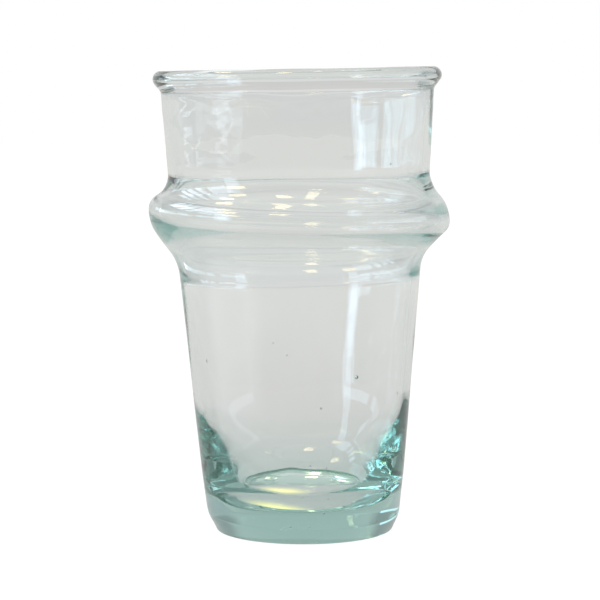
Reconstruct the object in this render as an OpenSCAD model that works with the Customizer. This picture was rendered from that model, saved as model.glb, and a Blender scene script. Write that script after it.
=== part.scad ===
// Tumbler of mouth-blown recycled glass: a plain upper wall with a beaded lip, a hollow
// ring bulged out below it, a conical lower wall and a heavy foot. The whole glass is one
// gather, so it is one solid, turned about Z. The origin is the middle of the base, the
// glass stands on the XY plane with its mouth up, and every length is in millimetres.

/* [Overall] */
// Height of the glass from the table to the top of the lip
total_h = 125.5; // [118:0.5:140]

/* [Lip] */
// Diameter over the bead of the lip
lip_d = 78; // [76:0.5:84]
// Height of the bead with its sloping underside
lip_h = 5.6; // [4.5:0.1:8]
// Depth of the bead's widest line below the top of the lip
lip_belly = 2.9; // [2.3:0.1:4]
// Thickness of the bead, measured across the rim
lip_w = 3.6; // [3:0.1:4.5]
// Rounding of the bead's outer edge
lip_round = 2.2; // [1.2:0.1:2.6]
// Rounding of the bead's inner edge
lip_in_round = 1.3; // [0.8:0.1:2]
// Rounding where the bead's underside meets the wall, and at its widest line
lip_ease = 1.2; // [0.6:0.1:2]

/* [Upper wall] */
// Outer diameter of the wall just under the lip
neck_d = 73.7; // [71:0.1:75]
// Outer diameter at which the wall runs into the shoulder of the ring
waist_d = 70.4; // [67:0.1:73]
// Thickness of the upper wall
upper_wall = 2; // [1.6:0.1:2.6]
// Rounding of the hollow corner between the upper wall and the ring
waist_round = 7.5; // [3:0.5:10]

/* [Ring] */
// Diameter over the ring at its widest line
ring_d = 81.7; // [78:0.1:88]
// Height of the ring's widest line above the table
ring_z = 86.1; // [80:0.5:92]
// Rounding of the ring's nose outside
ring_round = 7.1; // [4:0.1:9]
// Slope of the ring's shoulder, away from upright
shoulder_slope = 49; // [42:1:56]
// Slope of the ring's underside, away from upright
under_slope = 40; // [34:1:48]
// Thickness of the glass at the ring's widest line
ring_wall = 3.2; // [2.4:0.1:4]
// Rounding of the hollow inside the ring
hollow_round = 4; // [2:0.1:6]
// Slope of the inside of the ring's underside, away from upright
hollow_slope = 47; // [42:1:60]

/* [Lower wall] */
// Outer diameter at which the ring's underside runs into the lower wall
under_d = 66.2; // [63:0.1:69]
// Rounding of the hollow corner under the ring
under_round = 10; // [4:0.5:14]
// Thickness of the lower wall
lower_wall = 1.9; // [1.6:0.1:2.4]
// Thickness of the glass gathered in the fold under the ring
fold_wall = 3.6; // [2.7:0.1:4.2]
// Rounding of the fold on the inside
fold_round = 12; // [4:0.5:14]
// Height over which the fold thins out to the lower wall
fold_h = 7.5; // [6:0.5:12]

/* [Foot] */
// Outer diameter of the foot where its heel begins to slope in
foot_d = 52.6; // [51:0.1:54]
// Height of the sloping heel between the resting face and the foot's side
heel_h = 4.2; // [3:0.1:6]
// How far the heel slopes in on its way down to the resting face
heel_w = 2.1; // [1:0.1:3.5]
// Rounding of the bend between the heel and the foot's side
heel_round = 4; // [2:0.1:6]
// Outer diameter at the top of the foot, where the conical wall starts
foot_top_d = 55.4; // [54.5:0.1:58]
// Height of the foot
foot_h = 16; // [10:0.5:20]
// Rounding of the bend between the foot and the conical wall
foot_ease = 30; // [10:1:50]
// Width of the flat ring that the glass rests on, before its edges are rounded
rest_w = 3.2; // [2:0.1:7]
// Rounding of the outer edge of that ring
rest_round = 0.8; // [0.4:0.1:1.2]
// Depth of the shallow dish inside the ring, at its middle
dish_h = 1.8; // [0.6:0.1:2.6]

/* [Inside bottom] */
// Height of the inside floor above the table, at the middle
floor_z = 7.6; // [5.5:0.1:11]
// Diameter of the inside floor, before its corner is rounded
floor_d = 37.5; // [32:0.5:39]
// Rounding of the inside floor's corner
floor_round = 13; // [6:0.5:16]
// Height at which the inside starts to narrow towards the floor
bowl_z = 31.5; // [28:0.5:44]
// Rounding of the bend where the inside starts to narrow
bowl_round = 38; // [16:1:44]

/* [Hidden] */
// Largest turn of one straight step along a rounding, and the fewest steps that it takes
arc_step = 10;
arc_least = 3;
// Number of sides of the turned shape
turned_sides = 96;

// Where two slopes of a bulge would meet, as [radius, height], from its widest radius and
// height, the rounding of its nose and the slopes above and below, away from upright
function bulge_tip(widest_r, widest_z, nose, above, below) =
    let (spread = nose / cos((above + below) / 2))
    [
        widest_r - nose + spread * cos((above - below) / 2),
        widest_z + spread * sin((above - below) / 2)
    ];

// Height at which a slope from a bulge's tip has come in to a radius
function slope_z(tip, r, slope) = (tip[0] - r) / tan(slope);

ring_tip = bulge_tip(ring_d / 2, ring_z, ring_round, shoulder_slope, under_slope);
waist_z = ring_tip[1] + slope_z(ring_tip, waist_d / 2, shoulder_slope);
under_z = ring_tip[1] - slope_z(ring_tip, under_d / 2, under_slope);
neck_z = total_h - lip_h;

// The hollow inside the ring is a smaller bulge with its own, flatter underside
hollow_tip = bulge_tip(ring_d / 2 - ring_wall, ring_z, hollow_round, shoulder_slope, hollow_slope);
waist_in_r = waist_d / 2 - upper_wall;
waist_in_z = hollow_tip[1] + slope_z(hollow_tip, waist_in_r, shoulder_slope);
fold_r = under_d / 2 - fold_wall;
fold_z = hollow_tip[1] - slope_z(hollow_tip, fold_r, hollow_slope);

// Radii of the resting face and of the dish, and of the ball that the dish is a cap of
rest_r = foot_d / 2 - heel_w;
dish_r = rest_r - rest_w;
dish_ball_r = (pow(dish_r, 2) + pow(dish_h, 2)) / (2 * dish_h);

// Outer radius of the conical wall at a height
function cone_r(z) =
    let (spread = (under_d - foot_top_d) / 2)
    foot_top_d / 2 + spread * (z - foot_h) / (under_z - foot_h);

// Corners of the outside, from the middle of the underside up to the lip, each as
// [radius, height, rounding]
outside = [
    [0, dish_h, 0],
    [dish_r / 2, dish_h, dish_ball_r],
    [dish_r, 0, dish_h],
    [rest_r, 0, rest_round],
    [foot_d / 2, heel_h, heel_round],
    [foot_top_d / 2, foot_h, foot_ease],
    [under_d / 2, under_z, under_round],
    [ring_tip[0], ring_tip[1], ring_round],
    [waist_d / 2, waist_z, waist_round],
    [neck_d / 2, neck_z, lip_ease],
    [lip_d / 2, total_h - lip_belly, lip_ease],
    [lip_d / 2, total_h, lip_round]
];

// Corners of the inside, from the lip down to the middle of the floor
inside = [
    [lip_d / 2 - lip_w, total_h, lip_in_round],
    [neck_d / 2 - upper_wall, neck_z, lip_h],
    [waist_in_r, waist_in_z, waist_round],
    [hollow_tip[0], hollow_tip[1], hollow_round],
    [fold_r, fold_z, fold_round],
    [cone_r(fold_z - fold_h) - lower_wall, fold_z - fold_h, fold_h],
    [cone_r(bowl_z) - lower_wall, bowl_z, bowl_round],
    [floor_d / 2, floor_z, floor_round],
    [0, floor_z, 0]
];

// Step from one corner to another, without their roundings
function step_to(a, b) = [b[0] - a[0], b[1] - a[1]];

// Angle through which the outline turns at corner i
function turn_at(c, i) =
    let (a = step_to(c[i - 1], c[i]), b = step_to(c[i], c[i + 1]))
    abs(atan2(cross(a, b), a * b));

// Length that the rounding of corner i takes from the sides beside it
function taken(c, i) = i == 0 || i == len(c) - 1 ? 0 : c[i][2] * tan(turn_at(c, i) / 2);

// Share of a side's length that the roundings at its two ends leave to each other
function room(c, i) = norm(step_to(c[i], c[i + 1])) / (taken(c, i) + taken(c, i + 1));

// Points of the rounding of corner i, which gives way where it would meet the next one
function rounded_corner(c, i) =
    let (
        a = step_to(c[i - 1], c[i]),
        b = step_to(c[i], c[i + 1]),
        turn = atan2(cross(a, b), a * b),
        r = c[i][2] * min(1, room(c, i - 1), room(c, i)),
        side = turn < 0 ? -1 : 1,
        along = a / norm(a),
        start = [c[i][0], c[i][1]] - along * r * tan(abs(turn) / 2),
        centre = start + side * r * [-along[1], along[0]],
        first = atan2(start[1] - centre[1], start[0] - centre[0]),
        steps = max(arc_least, ceil(abs(turn) / arc_step))
    )
    [for (k = [0 : steps]) centre + r * [cos(first + turn * k / steps), sin(first + turn * k / steps)]];

// The outline with every corner rounded
function rounded(c) = [
    for (i = [0 : len(c) - 1])
        each c[i][2] > 0 ? rounded_corner(c, i) : [[c[i][0], c[i][1]]]
];

// The glass, turned from one outline that runs up the outside, over the lip and down the inside
module tumbler() {
    color([0.72, 0.86, 0.82, 0.45])
        rotate_extrude($fn = turned_sides)
            polygon(rounded(concat(outside, inside)));
}

tumbler();
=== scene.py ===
from math import ceil, cos, exp, hypot, pi, radians, sin, tan

import bmesh
import bpy
from mathutils import Matrix, Vector, noise


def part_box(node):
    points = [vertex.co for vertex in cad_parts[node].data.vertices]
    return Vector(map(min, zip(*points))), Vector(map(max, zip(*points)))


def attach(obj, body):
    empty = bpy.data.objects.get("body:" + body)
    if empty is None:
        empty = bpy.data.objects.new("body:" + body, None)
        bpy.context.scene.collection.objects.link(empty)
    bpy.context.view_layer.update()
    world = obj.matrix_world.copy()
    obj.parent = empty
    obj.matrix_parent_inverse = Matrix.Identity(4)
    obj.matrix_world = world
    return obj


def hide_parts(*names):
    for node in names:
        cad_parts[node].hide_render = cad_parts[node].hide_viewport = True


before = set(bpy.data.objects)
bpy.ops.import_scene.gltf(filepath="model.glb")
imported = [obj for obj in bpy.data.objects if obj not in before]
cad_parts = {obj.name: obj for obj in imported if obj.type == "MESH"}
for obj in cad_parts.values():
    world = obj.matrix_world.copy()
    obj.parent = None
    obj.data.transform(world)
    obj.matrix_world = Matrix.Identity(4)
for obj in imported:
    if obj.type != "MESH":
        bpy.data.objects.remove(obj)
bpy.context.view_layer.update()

scene = bpy.context.scene

# The tumbler is one gather of recycled glass, blown and tooled by hand: a beaded lip, a plain
# upper wall, a hollow ring, a conical lower wall and a heavy foot with a dished underside.
# Its outline runs up the outside, over the lip and down the inside, and is turned.
MM = 0.001
cad_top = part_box("tumbler")[1]
total_h = cad_top.z
ring_r = cad_top.x

lip_r = 39.0 * MM
lip_h = 5.6 * MM
lip_belly = 2.9 * MM
lip_w = 3.6 * MM
lip_round = 2.2 * MM
lip_in_round = 1.3 * MM
lip_ease = 1.6 * MM

neck_r = 36.85 * MM
waist_r = 35.2 * MM
upper_wall = 2.0 * MM
waist_round = 7.5 * MM
waist_in_round = 12.0 * MM

ring_z = 86.1 * MM
ring_round = 7.1 * MM
shoulder_slope = radians(49)
under_slope = radians(40)
ring_wall = 3.2 * MM
hollow_round = 4.0 * MM
hollow_slope = radians(47)

under_r = 33.1 * MM
under_round = 10.0 * MM
lower_wall = 1.9 * MM
fold_wall = 3.6 * MM
fold_round = 12.0 * MM
fold_h = 7.5 * MM

base_r = 24.2 * MM
base_round = 0.8 * MM
heel_r = 26.3 * MM
heel_h = 4.2 * MM
heel_round = 4.0 * MM
foot_top_r = 27.7 * MM
foot_h = 16.0 * MM
foot_ease = 30.0 * MM
dish_r = 21.0 * MM
dish_h = 1.8 * MM
dish_ball_r = (dish_r**2 + dish_h**2) / (2 * dish_h)

floor_z = 7.6 * MM
floor_r = 18.75 * MM
floor_round = 13.0 * MM
bowl_z = 31.5 * MM
bowl_round = 38.0 * MM


def bulge_tip(widest_r, widest_z, nose, above, below):
    """Where the slopes above and below a bulge would meet, before its nose is rounded."""
    spread = nose / cos((above + below) / 2)
    tip_r = widest_r - nose + spread * cos((above - below) / 2)
    return tip_r, widest_z + spread * sin((above - below) / 2)


ring_tip = bulge_tip(ring_r, ring_z, ring_round, shoulder_slope, under_slope)
waist_z = ring_tip[1] + (ring_tip[0] - waist_r) / tan(shoulder_slope)
under_z = ring_tip[1] - (ring_tip[0] - under_r) / tan(under_slope)
neck_z = total_h - lip_h

hollow_tip = bulge_tip(ring_r - ring_wall, ring_z, hollow_round, shoulder_slope, hollow_slope)
waist_in_r = waist_r - upper_wall
waist_in_z = hollow_tip[1] + (hollow_tip[0] - waist_in_r) / tan(shoulder_slope)
fold_r = under_r - fold_wall
fold_z = hollow_tip[1] - (hollow_tip[0] - fold_r) / tan(hollow_slope)


def cone_r(z):
    """Outer radius of the conical wall at a height."""
    return foot_top_r + (under_r - foot_top_r) * (z - foot_h) / (under_z - foot_h)


# Corners as (radius, height, rounding), first the outside going up, then the inside going down
outside = [
    (0, dish_h, 0),
    (dish_r / 2, dish_h, dish_ball_r),
    (dish_r, 0, dish_h),
    (base_r, 0, base_round),
    (heel_r, heel_h, heel_round),
    (foot_top_r, foot_h, foot_ease),
    (under_r, under_z, under_round),
    (*ring_tip, ring_round),
    (waist_r, waist_z, waist_round),
    (neck_r, neck_z, lip_ease),
    (lip_r, total_h - lip_belly, lip_ease),
    (lip_r, total_h, lip_round),
]
inside = [
    (lip_r - lip_w, total_h, lip_in_round),
    (neck_r - upper_wall, neck_z, lip_h),
    (waist_in_r, waist_in_z, waist_in_round),
    (*hollow_tip, hollow_round),
    (fold_r, fold_z, fold_round),
    (cone_r(fold_z - fold_h) - lower_wall, fold_z - fold_h, fold_h),
    (cone_r(bowl_z) - lower_wall, bowl_z, bowl_round),
    (floor_r, floor_z, floor_round),
    (0, floor_z, 0),
]

# Largest turn of one step along a rounding, the fewest steps it takes, and the share of its full
# length that it keeps, so that two roundings that meet stay a hair apart
arc_step = radians(6)
arc_least = 4
rounding_share = 0.999
# Longest stretch of straight wall, steps round the glass, and the gap that counts as closed
wall_step = 2.5 * MM
turned_steps = 224
merge_gap = 0.001 * MM


def turned_outline(corners):
    """A bmesh of the corners joined in a chain, with every corner rounded and the walls cut
    into short stretches. A rounding gives way where it would meet the next one."""
    bm = bmesh.new()
    chain = [bm.verts.new((r, 0, z)) for r, z, _ in corners]
    for a, b in zip(chain, chain[1:]):
        bm.edges.new((a, b))

    lengths = [(b.co - a.co).length for a, b in zip(chain, chain[1:])]
    turns = [0.0] * len(corners)
    taken = [0.0] * len(corners)
    for i in range(1, len(corners) - 1):
        turns[i] = (chain[i].co - chain[i - 1].co).angle(chain[i + 1].co - chain[i].co)
        taken[i] = corners[i][2] * tan(turns[i] / 2)
    for i in range(1, len(corners) - 1):
        room_before = lengths[i - 1] / (taken[i - 1] + taken[i])
        room_after = lengths[i] / (taken[i] + taken[i + 1])
        bmesh.ops.bevel(
            bm,
            geom=[chain[i]],
            offset=taken[i] * min(1, room_before, room_after) * rounding_share,
            offset_type="OFFSET",
            segments=max(arc_least, ceil(turns[i] / arc_step)),
            profile=0.5,
            affect="VERTICES",
            material=-1,
            clamp_overlap=False,
        )
    for edge in list(bm.edges):
        cuts = int(edge.calc_length() / wall_step)
        if cuts:
            bmesh.ops.subdivide_edges(bm, edges=[edge], cuts=cuts)
    return bm


bm = turned_outline(outside + inside)
bmesh.ops.spin(
    bm,
    geom=bm.verts[:] + bm.edges[:],
    cent=(0, 0, 0),
    axis=(0, 0, 1),
    dvec=(0, 0, 0),
    angle=2 * pi,
    steps=turned_steps,
    use_merge=True,
)
bmesh.ops.remove_doubles(bm, verts=bm.verts, dist=merge_gap)
bmesh.ops.recalc_face_normals(bm, faces=bm.faces)

# Hand work leaves the glass a little uneven. The wall waves, outside and inside each in its own
# way and less near the ring, and the lip waves up and down.
wave_gain = 1.6
wave_span = Vector((12, 12, 25)) * MM
outer_wave = 0.09 * MM
outer_shift = 3.7
inner_wave = 0.16 * MM
inner_shift = 41.3
fine_span = Vector((5, 5, 9)) * MM
fine_wave = 0.02 * MM
fine_shift = 17.9
calm_z = 81.0 * MM
calm_span = 17.0 * MM
calm_share = 0.8
lip_span = Vector((48, 48, 100)) * MM
lip_wave = 0.2 * MM
lip_shift = 5.1
# The flat resting face stays as it is, and the waves grow to their full size over this height
still_h = 4.0 * MM
# Faint ripples that the tools leave above the ring, as (height, width, depth)
ripples = [
    (103.5 * MM, 1.2 * MM, 0.10 * MM),
    (115.0 * MM, 1.5 * MM, 0.05 * MM),
    (99.0 * MM, 1.2 * MM, 0.05 * MM),
]
# The edges of the ring and the lip run at a slant, as (height, width, slope)
slants = [
    (72.0 * MM, 4.0 * MM, 0.016),
    (86.5 * MM, 5.0 * MM, -0.048),
    (125.0 * MM, 9.0 * MM, 0.003),
]
# One side of the heel is worn down by the table
worn_h = 7.0 * MM
worn_depth = 0.7 * MM
# The whole glass leans to the left, about this height
lean = 0.014
lean_z = 50.0 * MM


def bell(x, width):
    """A smooth bump of height 1 at 0."""
    return exp(-((x / width) ** 2))


def ease(x):
    """A smooth rise from 0 to 1 as x goes from 0 to 1."""
    x = min(1.0, max(0.0, x))
    return x * x * (3 - 2 * x)


def wave(point, span, shift):
    """Smooth unevenness between about -1 and 1, with waves as long as `span`."""
    spot = Vector((point.x / span.x + shift, point.y / span.y, point.z / span.z))
    return noise.noise(spot) * wave_gain


def bumps_at(z, bumps):
    """What a list of bumps, each (height, width, amount), adds up to at a height."""
    return sum(amount * bell(z - middle, width) for middle, width, amount in bumps)


def leaning(point):
    """The point after the whole glass has leaned to the left."""
    return point - Vector((lean * (point.z - lean_z), 0, 0))


bm.normal_update()
for vert in bm.verts:
    p = vert.co.copy()
    reach = hypot(p.x, p.y)
    facing = (vert.normal.x * p.x + vert.normal.y * p.y) / reach if reach else 0
    outer = ease((facing + 1) / 2)
    push = outer * outer_wave * wave(p, wave_span, outer_shift)
    push += (1 - outer) * inner_wave * wave(p, wave_span, inner_shift)
    push += fine_wave * wave(p, fine_span, fine_shift)
    push *= 1 - calm_share * bell(p.z - calm_z, calm_span)
    push += max(0, facing) * bumps_at(p.z, ripples)
    p += vert.normal * push * ease(p.z / still_h)
    worn = worn_depth * max(0, facing) * ease(-p.x / ring_r) * ease(1 - p.z / worn_h)
    if worn:
        p -= Vector((p.x, p.y, 0)) * worn / reach
    p.z += lip_wave * wave(p, lip_span, lip_shift) * ease((p.z - neck_z) / lip_h)
    slant = lean * ease(p.z / foot_h) + bumps_at(p.z, slants)
    vert.co = leaning(p + Vector((0, 0, p.x * slant)))

# Seeds, the small bubbles that recycled glass keeps, lie inside the wall. Each is a closed hollow
# that faces into its void, as (bearing from the front, height, depth in the glass, width, length),
# in degrees and millimetres
seeds = [
    (29.1, 45.0, 1.0, 0.50, 0.50),
    (10.0, 37.1, 1.0, 0.28, 0.30),
    (-13.6, 54.5, 1.0, 0.16, 0.30),
    (-6.9, 51.3, 0.9, 0.16, 0.22),
    (-55.9, 48.2, 0.9, 0.18, 0.50),
    (60.4, 39.2, 1.0, 0.20, 0.30),
    (4.2, 21.6, 1.5, 0.18, 0.25),
    (13.4, 20.9, 1.6, 0.18, 0.25),
    (-0.3, 13.0, 3.0, 0.22, 0.22),
    (15.3, 12.4, 3.5, 0.25, 0.25),
    (48.0, 11.0, 3.0, 0.20, 0.20),
    (13.2, 8.4, 4.0, 0.25, 0.25),
    (-8.1, 4.8, 3.0, 0.25, 0.25),
    (4.0, 4.7, 5.0, 0.20, 0.20),
    (51.5, 4.9, 3.0, 0.25, 0.25),
    (43.1, 100.9, 1.0, 0.25, 0.25),
    (47.1, 96.9, 1.0, 0.25, 0.25),
]
seed_fineness = 3


def outer_r(z):
    """Outer radius of the glass at a height, without the roundings."""
    for (r0, z0, _), (r1, z1, _) in zip(outside, outside[1:]):
        if z0 < z <= z1:
            return r0 + (r1 - r0) * (z - z0) / (z1 - z0)
    return lip_r


for bearing, seed_z, depth, width, length in seeds:
    a = radians(bearing)
    seed_r = outer_r(seed_z * MM) - depth * MM
    centre = leaning(Vector((seed_r * sin(a), -seed_r * cos(a), seed_z * MM)))
    shape = Matrix.Diagonal((width * MM, width * MM, length * MM, 1))
    seed = bmesh.ops.create_icosphere(
        bm,
        subdivisions=seed_fineness,
        radius=1,
        matrix=Matrix.Translation(centre) @ shape,
    )
    faces = {face for vert in seed["verts"] for face in vert.link_faces}
    bmesh.ops.reverse_faces(bm, faces=list(faces))


def placed(name, data):
    """A new object in the scene that shows a mesh, a lamp or a camera."""
    made = bpy.data.objects.new(name, data)
    scene.collection.objects.link(made)
    return made


def meshed(name, bm):
    """A new object in the scene with the mesh that the bmesh ends as."""
    mesh = bpy.data.meshes.new(name)
    bm.to_mesh(mesh)
    bm.free()
    return placed(name, mesh)


for face in bm.faces:
    face.smooth = True
glass = meshed("glass_tumbler", bm)

# Recycled glass: clear through the thin wall and aqua where it is thick. Fine cords run round it
# where the tools turned it, its skin is slightly dimpled, and the ring it rests on is scuffed.
glass_color = (1, 1, 1, 1)
glass_ior = 1.52
tint_color = (0.11, 0.545, 0.475, 1)
tint_density = 20.0
cord_scale = (60, 60, 520)
cord_detail = 3.0
cord_strength = 0.18
cord_depth = 0.02 * MM
dimple_scale = 420.0
dimple_detail = 2.0
dimple_strength = 0.10
dimple_depth = 0.01 * MM
scuff_scale = 1500.0
scuff_detail = 4.0
scuff_h = 0.5 * MM
scuff_roughness = 0.35


def noise_over(tree, vector, scale, detail):
    """The grey of a noise over the coordinates in the socket `vector`."""
    texture = tree.nodes.new("ShaderNodeTexNoise")
    texture.inputs["Scale"].default_value = scale
    texture.inputs["Detail"].default_value = detail
    tree.links.new(vector, texture.inputs["Vector"])
    return texture.outputs["Fac"]


def bump_of(tree, height, strength, depth):
    """A bump node that raises the surface by the socket `height`, up to a depth."""
    bump = tree.nodes.new("ShaderNodeBump")
    bump.inputs["Strength"].default_value = strength
    bump.inputs["Distance"].default_value = depth
    tree.links.new(height, bump.inputs["Height"])
    return bump


def ramp(tree, source, start, end, top=1.0):
    """A smooth rise from 0 to `top` as the socket `source` goes from start to end."""
    rise = tree.nodes.new("ShaderNodeMapRange")
    rise.interpolation_type = "SMOOTHSTEP"
    rise.inputs["From Min"].default_value = start
    rise.inputs["From Max"].default_value = end
    rise.inputs["To Max"].default_value = top
    tree.links.new(source, rise.inputs["Value"])
    return rise.outputs["Result"]


glass_material = bpy.data.materials.new("recycled_glass")
glass_material.use_nodes = True
tree = glass_material.node_tree
surface = tree.nodes["Principled BSDF"]
surface.inputs["Base Color"].default_value = glass_color
surface.inputs["Roughness"].default_value = 0.0
surface.inputs["IOR"].default_value = glass_ior
surface.inputs["Transmission Weight"].default_value = 1.0
place = tree.nodes.new("ShaderNodeTexCoord").outputs["Object"]

cords = tree.nodes.new("ShaderNodeMapping")
cords.inputs["Scale"].default_value = cord_scale
tree.links.new(place, cords.inputs["Vector"])
cord_height = noise_over(tree, cords.outputs["Vector"], 1.0, cord_detail)
cord_bump = bump_of(tree, cord_height, cord_strength, cord_depth)
dimple_height = noise_over(tree, place, dimple_scale, dimple_detail)
dimple_bump = bump_of(tree, dimple_height, dimple_strength, dimple_depth)
tree.links.new(cord_bump.outputs["Normal"], dimple_bump.inputs["Normal"])
tree.links.new(dimple_bump.outputs["Normal"], surface.inputs["Normal"])

level = tree.nodes.new("ShaderNodeSeparateXYZ")
tree.links.new(place, level.inputs["Vector"])
scuffs = tree.nodes.new("ShaderNodeMath")
scuffs.operation = "MULTIPLY"
tree.links.new(ramp(tree, level.outputs["Z"], scuff_h, 0.0, scuff_roughness), scuffs.inputs[0])
tree.links.new(noise_over(tree, place, scuff_scale, scuff_detail), scuffs.inputs[1])
tree.links.new(scuffs.outputs["Value"], surface.inputs["Roughness"])

tint = tree.nodes.new("ShaderNodeVolumeAbsorption")
tint.inputs["Color"].default_value = tint_color
tint.inputs["Density"].default_value = tint_density
tree.links.new(tint.outputs["Volume"], tree.nodes["Material Output"].inputs["Volume"])
glass.data.materials.append(glass_material)

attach(glass, "root")
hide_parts("tumbler")

# The table is a plain pale matt top just under the foot, and the scene's floor. The camera sees
# it white. The glass sees it grey, with a painted reflection of a window's broad gleam across it
# and a painted warm spot of light, for the light that the foot gathers under its dish.
table_reach = 3.5
table_gap = 0.2 * MM
table_sides = 128
table_seen = (0.97, 0.97, 0.97, 1)
table_base = (0.1, 0.1, 0.1, 1)
table_near = (0.59, 0.58, 0.57, 1)
table_far = (0.68, 0.67, 0.65, 1)
table_fade = (0.1, 0.7)
# The painted window reflection's bearing, its width as the cosine of the angle off that bearing,
# and the distances over which it sets in and dies away
painted_gleam_color = (1.0, 1.0, 1.0, 1)
painted_gleam_bearing = radians(-68)
painted_gleam_width = (0.80, 0.97)
painted_gleam_start = (0.07, 0.13)
painted_gleam_end = (0.5, 0.7)
# A painted warm spot of light under the dish, with its colour, middle and reach
painted_caustic_color = (1.75, 1.5, 0.62, 1)
painted_caustic_at = (-6.5 * MM, -3.5 * MM, 0)
painted_caustic_r = 12.0 * MM


def mixed(tree, factor, a, b):
    """The colour `a` where the factor is 0 and `b` where it is 1, each a socket or a colour."""
    mix = tree.nodes.new("ShaderNodeMix")
    mix.data_type = "RGBA"
    tree.links.new(factor, mix.inputs["Factor"])
    for value, socket in ((a, mix.inputs["A"]), (b, mix.inputs["B"])):
        if isinstance(value, tuple):
            socket.default_value = value
        else:
            tree.links.new(value, socket)
    return mix.outputs["Result"]


def faded(tree, source, limits, a, b):
    """The colour `a` that turns into `b` as the socket `source` goes between two limits."""
    return mixed(tree, ramp(tree, source, *limits), a, b)


def for_camera(tree, color, seen):
    """The colour `color` for the glass, and `seen` for the camera's own rays."""
    path = tree.nodes.new("ShaderNodeLightPath")
    return mixed(tree, path.outputs["Is Camera Ray"], color, seen)


def vector_node(tree, operation, vector, other=None):
    """A node of vector arithmetic on the socket `vector` and a second, fixed vector."""
    node = tree.nodes.new("ShaderNodeVectorMath")
    node.operation = operation
    tree.links.new(vector, node.inputs[0])
    if other:
        node.inputs[1].default_value = other
    return node


bm = bmesh.new()
bmesh.ops.create_circle(bm, cap_ends=True, radius=table_reach, segments=table_sides)
bmesh.ops.translate(bm, verts=bm.verts, vec=(0, 0, -table_gap))
table = meshed("pale_floor", bm)

table_paint = bpy.data.materials.new("floor_paint")
table_paint.use_nodes = True
tree = table_paint.node_tree
matt = tree.nodes["Principled BSDF"]
matt.inputs["Base Color"].default_value = table_base
matt.inputs["Roughness"].default_value = 1.0
matt.inputs["Specular IOR Level"].default_value = 0.0
matt.inputs["Emission Strength"].default_value = 1.0

place = tree.nodes.new("ShaderNodeTexCoord").outputs["Object"]
distance = vector_node(tree, "LENGTH", place).outputs["Value"]
course = vector_node(tree, "NORMALIZE", place).outputs["Vector"]
painted_gleam_course = (sin(painted_gleam_bearing), -cos(painted_gleam_bearing), 0)
toward = vector_node(tree, "DOT_PRODUCT", course, painted_gleam_course).outputs["Value"]
off_painted_caustic = vector_node(tree, "DISTANCE", place, painted_caustic_at).outputs["Value"]
paint = faded(tree, distance, table_fade, table_near, table_far)
# A painted reflection of a window, laid into the floor's glow as the glass sees it
painted_shine = faded(tree, distance, painted_gleam_start, paint, painted_gleam_color)
painted_shine = faded(tree, distance, painted_gleam_end, painted_shine, table_far)
paint = faded(tree, toward, painted_gleam_width, paint, painted_shine)
# The painted warm spot of light, standing in for the light that the foot gathers
paint = faded(tree, off_painted_caustic, (painted_caustic_r, 0.0), paint, painted_caustic_color)
tree.links.new(for_camera(tree, paint, table_seen), matt.inputs["Emission Color"])
table.data.materials.append(table_paint)

# The room round the glass is painted on the world. The camera sees it white. Through the glass it
# has a pale wall behind, darker walls beside and in front, and a light ceiling.
room_seen = (1, 1, 1, 1)
back_level = (0.685, 0.68, 0.675, 1)
back_above = (0.75, 0.745, 0.74, 1)
back_low = (0.71, 0.70, 0.68, 1)
back_high = (0.65, 0.64, 0.63, 1)
side_low = (0.70, 0.70, 0.70, 1)
side_low_right = (0.59, 0.61, 0.64, 1)
side_high = (0.42, 0.43, 0.44, 1)
front = (0.41, 0.41, 0.42, 1)
ceiling = (0.95, 0.90, 0.86, 1)
# Where one colour turns into the next, as how far the direction of view, one unit long, reaches
# up, to the right or to the back
above_from = (0.01, 0.08)
low_from = (0.0, -0.035)
high_from = (0.22, 0.30)
right_from = (0.1, 0.4)
side_high_from = (0.10, 0.18)
back_from = (0.70, 0.86)
front_from = (0.3, -0.3)
ceiling_from = (0.64, 0.80)

world = bpy.data.worlds.new("room")
scene.world = world
world.use_nodes = True
tree = world.node_tree
view = tree.nodes.new("ShaderNodeSeparateXYZ")
tree.links.new(tree.nodes.new("ShaderNodeTexCoord").outputs["Generated"], view.inputs["Vector"])
to_right, to_back, upward = (view.outputs[axis] for axis in "XYZ")
back = faded(tree, upward, above_from, back_level, back_above)
back = faded(tree, upward, low_from, back, back_low)
back = faded(tree, upward, high_from, back, back_high)
side = faded(tree, to_right, right_from, side_low, side_low_right)
side = faded(tree, upward, side_high_from, side, side_high)
room = faded(tree, to_back, back_from, side, back)
room = faded(tree, to_back, front_from, room, front)
room = faded(tree, upward, ceiling_from, room, ceiling)
tree.links.new(for_camera(tree, room, room_seen), tree.nodes["Background"].inputs["Color"])

# The camera stands a little below the level of the lip, about 0.6 m away, and looks slightly down
# at the middle of the glass.
camera_away = 0.632
camera_z = 0.124
look_x = -0.3 * MM
look_z = 62.8 * MM
focal_px = 2328
picture_px = 600
sensor_width = 36

camera_data = bpy.data.cameras.new("camera")
camera_data.sensor_width = sensor_width
camera_data.lens = sensor_width * focal_px / picture_px
camera = placed("camera", camera_data)
camera.location = (look_x, -camera_away, camera_z)
aim = Vector((look_x, 0, look_z)) - camera.location
camera.rotation_euler = aim.to_track_quat("-Z", "Y").to_euler()
scene.camera = camera

# The lamps are the windows of the room with the sills under them, their gleam on the table, and
# three warm lamps. Colours are as bright as the glass mirrors them.
lamp_away = 1.2
gleam_z = 1.0 * MM
daylight = (2.2, 2.75, 3.4)
sill_light = (1.8, 2.5, 3.0)
sill_shade = (0.95, 1.2, 1.4)
high_light = (3.0, 3.6, 4.3)
right_light = (1.1, 1.25, 1.35)
near_gleam = (1.15, 1.3, 1.5)
far_gleam = (1.4, 1.55, 1.75)
lamplight = (9.0, 7.2, 4.0)


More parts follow.
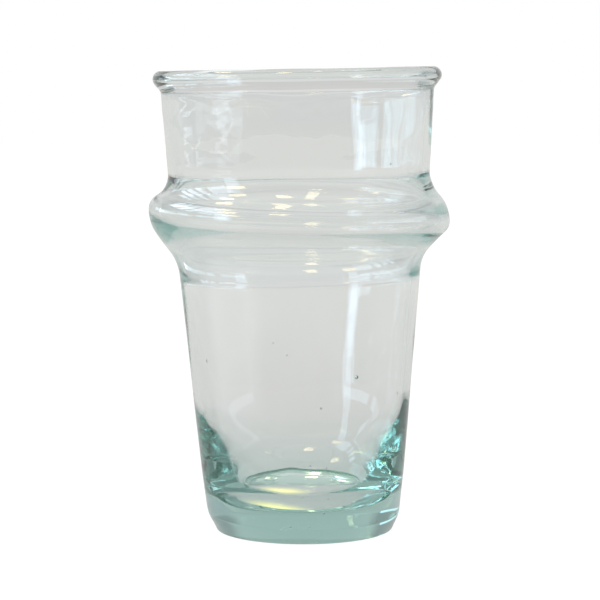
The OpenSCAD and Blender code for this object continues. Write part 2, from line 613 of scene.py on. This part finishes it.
def soft_lamp(name, width, length, color, at, turned):
    """A rectangular lamp whose face glows evenly with a colour."""
    data = bpy.data.lights.new(name, "AREA")
    data.shape = "RECTANGLE"
    data.size = width
    data.size_y = length
    strength = max(color)
    data.color = tuple(part / strength for part in color)
    data.energy = strength * data.size * data.size_y * pi
    lamp = placed(name, data)
    lamp.location = at
    lamp.rotation_euler = turned


def pane(name, bearings, heights, color):
    """A lamp that fills a patch of the room as the glass sees it, between two bearings and two
    heights in degrees. A bearing goes clockwise from the camera, seen from above."""
    bearing = radians(sum(bearings) / 2)
    lift = radians(sum(heights) / 2)
    width = 2 * lamp_away * tan(radians((bearings[1] - bearings[0]) / 2)) * cos(lift)
    length = 2 * lamp_away * tan(radians((heights[1] - heights[0]) / 2))
    heading = Vector((sin(bearing) * cos(lift), -cos(bearing) * cos(lift), sin(lift)))
    at = Vector((0, 0, look_z)) + lamp_away * heading
    soft_lamp(name, width, length, color, at, (-heading).to_track_quat("-Z", "Y").to_euler())


def gleam(name, bearings, distances, color):
    """A lamp flat over the table, where it mirrors a window, between two bearings in degrees
    and two distances in metres."""
    bearing = radians(sum(bearings) / 2)
    middle = sum(distances) / 2
    width = 2 * middle * tan(radians((bearings[1] - bearings[0]) / 2))
    length = distances[1] - distances[0]
    at = (middle * sin(bearing), -middle * cos(bearing), gleam_z)
    soft_lamp(name, width, length, color, at, (pi, 0, bearing))


pane("window_low", (-66, -54), (-6, 24), daylight)
pane("sill_wide", (-84, -56), (2.8, 9), sill_light)
pane("sill_second", (-103, -92), (2.8, 9), sill_light)
pane("sill_third", (-140, -105), (2.8, 9), sill_shade)
pane("window_wide", (-93, -68), (25, 46), high_light)
pane("window_second", (-107, -99), (25, 44), high_light)
pane("window_third", (-119, -111), (25, 42), high_light)
pane("window_fourth", (-130, -122), (25, 40), high_light)
pane("window_right", (60, 112), (8, 15), right_light)
gleam("gleam_first", (-72, -60), (0.93, 1.8), near_gleam)
gleam("gleam_second", (-81, -60), (0.81, 0.86), far_gleam)
gleam("gleam_third", (-102, -93), (1.00, 1.06), far_gleam)
gleam("gleam_fourth", (-117, -106), (1.24, 1.32), far_gleam)
pane("lamp_left", (-68, -50), (27, 35), lamplight)
pane("lamp_high", (-124, -105), (56, 63), lamplight)
pane("lamp_front", (-32, -12), (60, 74), lamplight)

# Light passes many walls of glass before it is spent
light_bounces = 96
scene.cycles.max_bounces = light_bounces
scene.cycles.transmission_bounces = light_bounces
scene.cycles.glossy_bounces = light_bounces
scene.view_settings.view_transform = "Standard"
